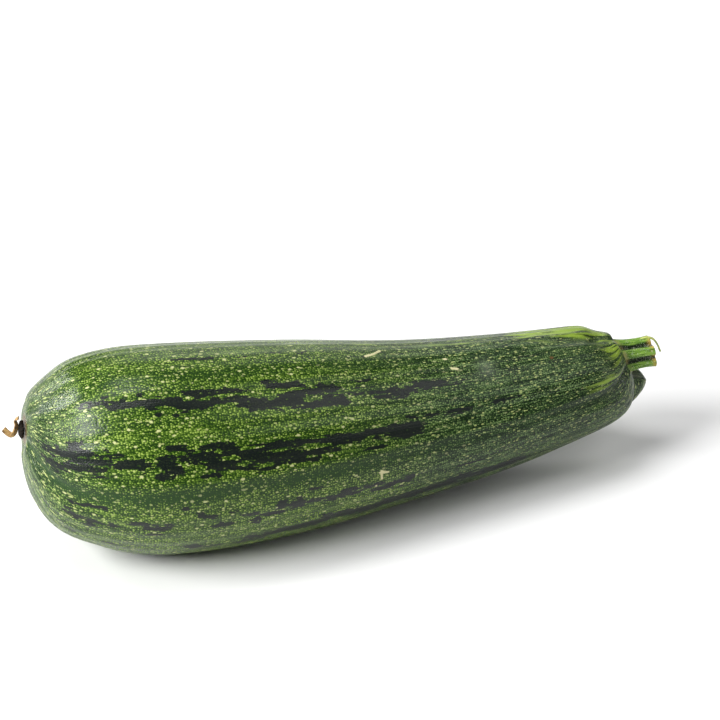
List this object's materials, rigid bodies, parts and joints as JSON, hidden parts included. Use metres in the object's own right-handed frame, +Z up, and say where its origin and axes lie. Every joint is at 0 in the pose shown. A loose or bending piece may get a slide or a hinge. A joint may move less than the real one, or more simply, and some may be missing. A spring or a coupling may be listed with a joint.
{
  "type": "zucchini",
  "caption": "Large dark green zucchini, fat at the blossom end, lying on its side, with a ridged cut stem and a dried curl of blossom.",
  "frame": {"origin": "on the flat spot that the fruit rests on, under its thick half", "axes": "+X along the fruit towards the stem, +Z up, -Y the side seen first"},
  "size_m": [0.3213, 0.0997, 0.0965],
  "materials": {
    "skin": "waxy dark green skin with pale flecks and near-black streaks",
    "stem": "ridged fibrous green stalk with short pale bristles",
    "scar": "dry black cork",
    "petal": "dry tan petal"
  },
  "bodies": {
    "root": {"fruit": "skin", "stem": "stem", "blossom_scar": "scar", "dried_blossom": "petal"}
  },
  "joints": []
}
